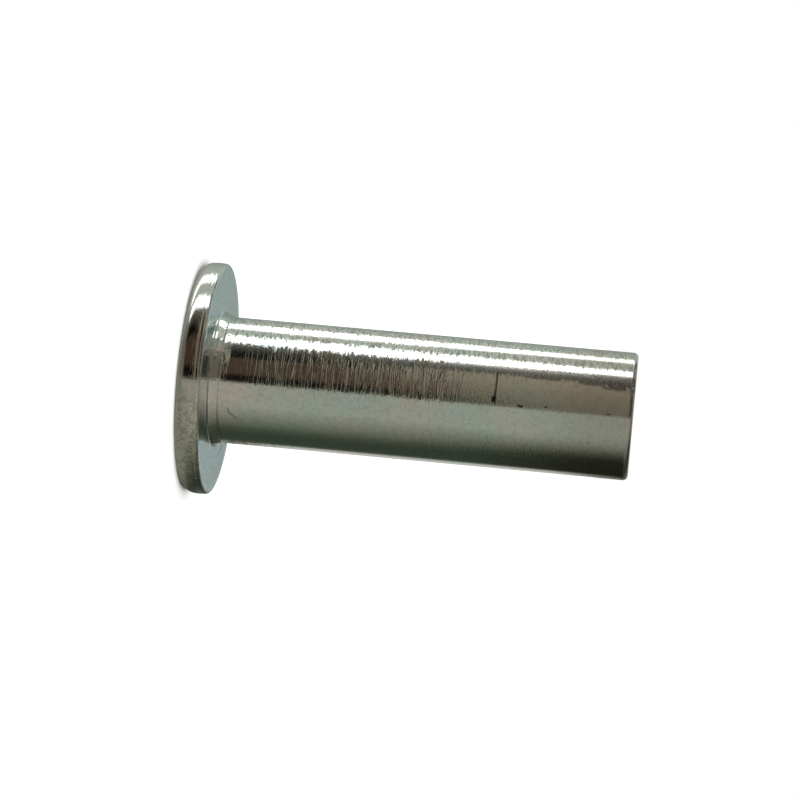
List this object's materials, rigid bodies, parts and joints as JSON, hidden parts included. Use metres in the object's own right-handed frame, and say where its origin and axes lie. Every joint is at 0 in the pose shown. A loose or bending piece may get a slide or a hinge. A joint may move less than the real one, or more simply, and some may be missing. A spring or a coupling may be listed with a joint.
{
  "type": "tubular rivet",
  "caption": "Flat-head semi-tubular rivet: thin round head with a rounded, slightly barrelled rim, short neck flare, straight shank and a hollow tail.",
  "frame": {"origin": "centre of the head's flat outer face, which the rivet stands on", "axes": "+Z along the shank, from the head to the hollow tail; the body is round about Z"},
  "size_m": [0.0112, 0.0112, 0.0212],
  "materials": {
    "zinc_plate": "bright zinc plating, satin, with fine forming wrinkles"
  },
  "bodies": {
    "root": {"rivet": "zinc_plate"}
  },
  "joints": []
}
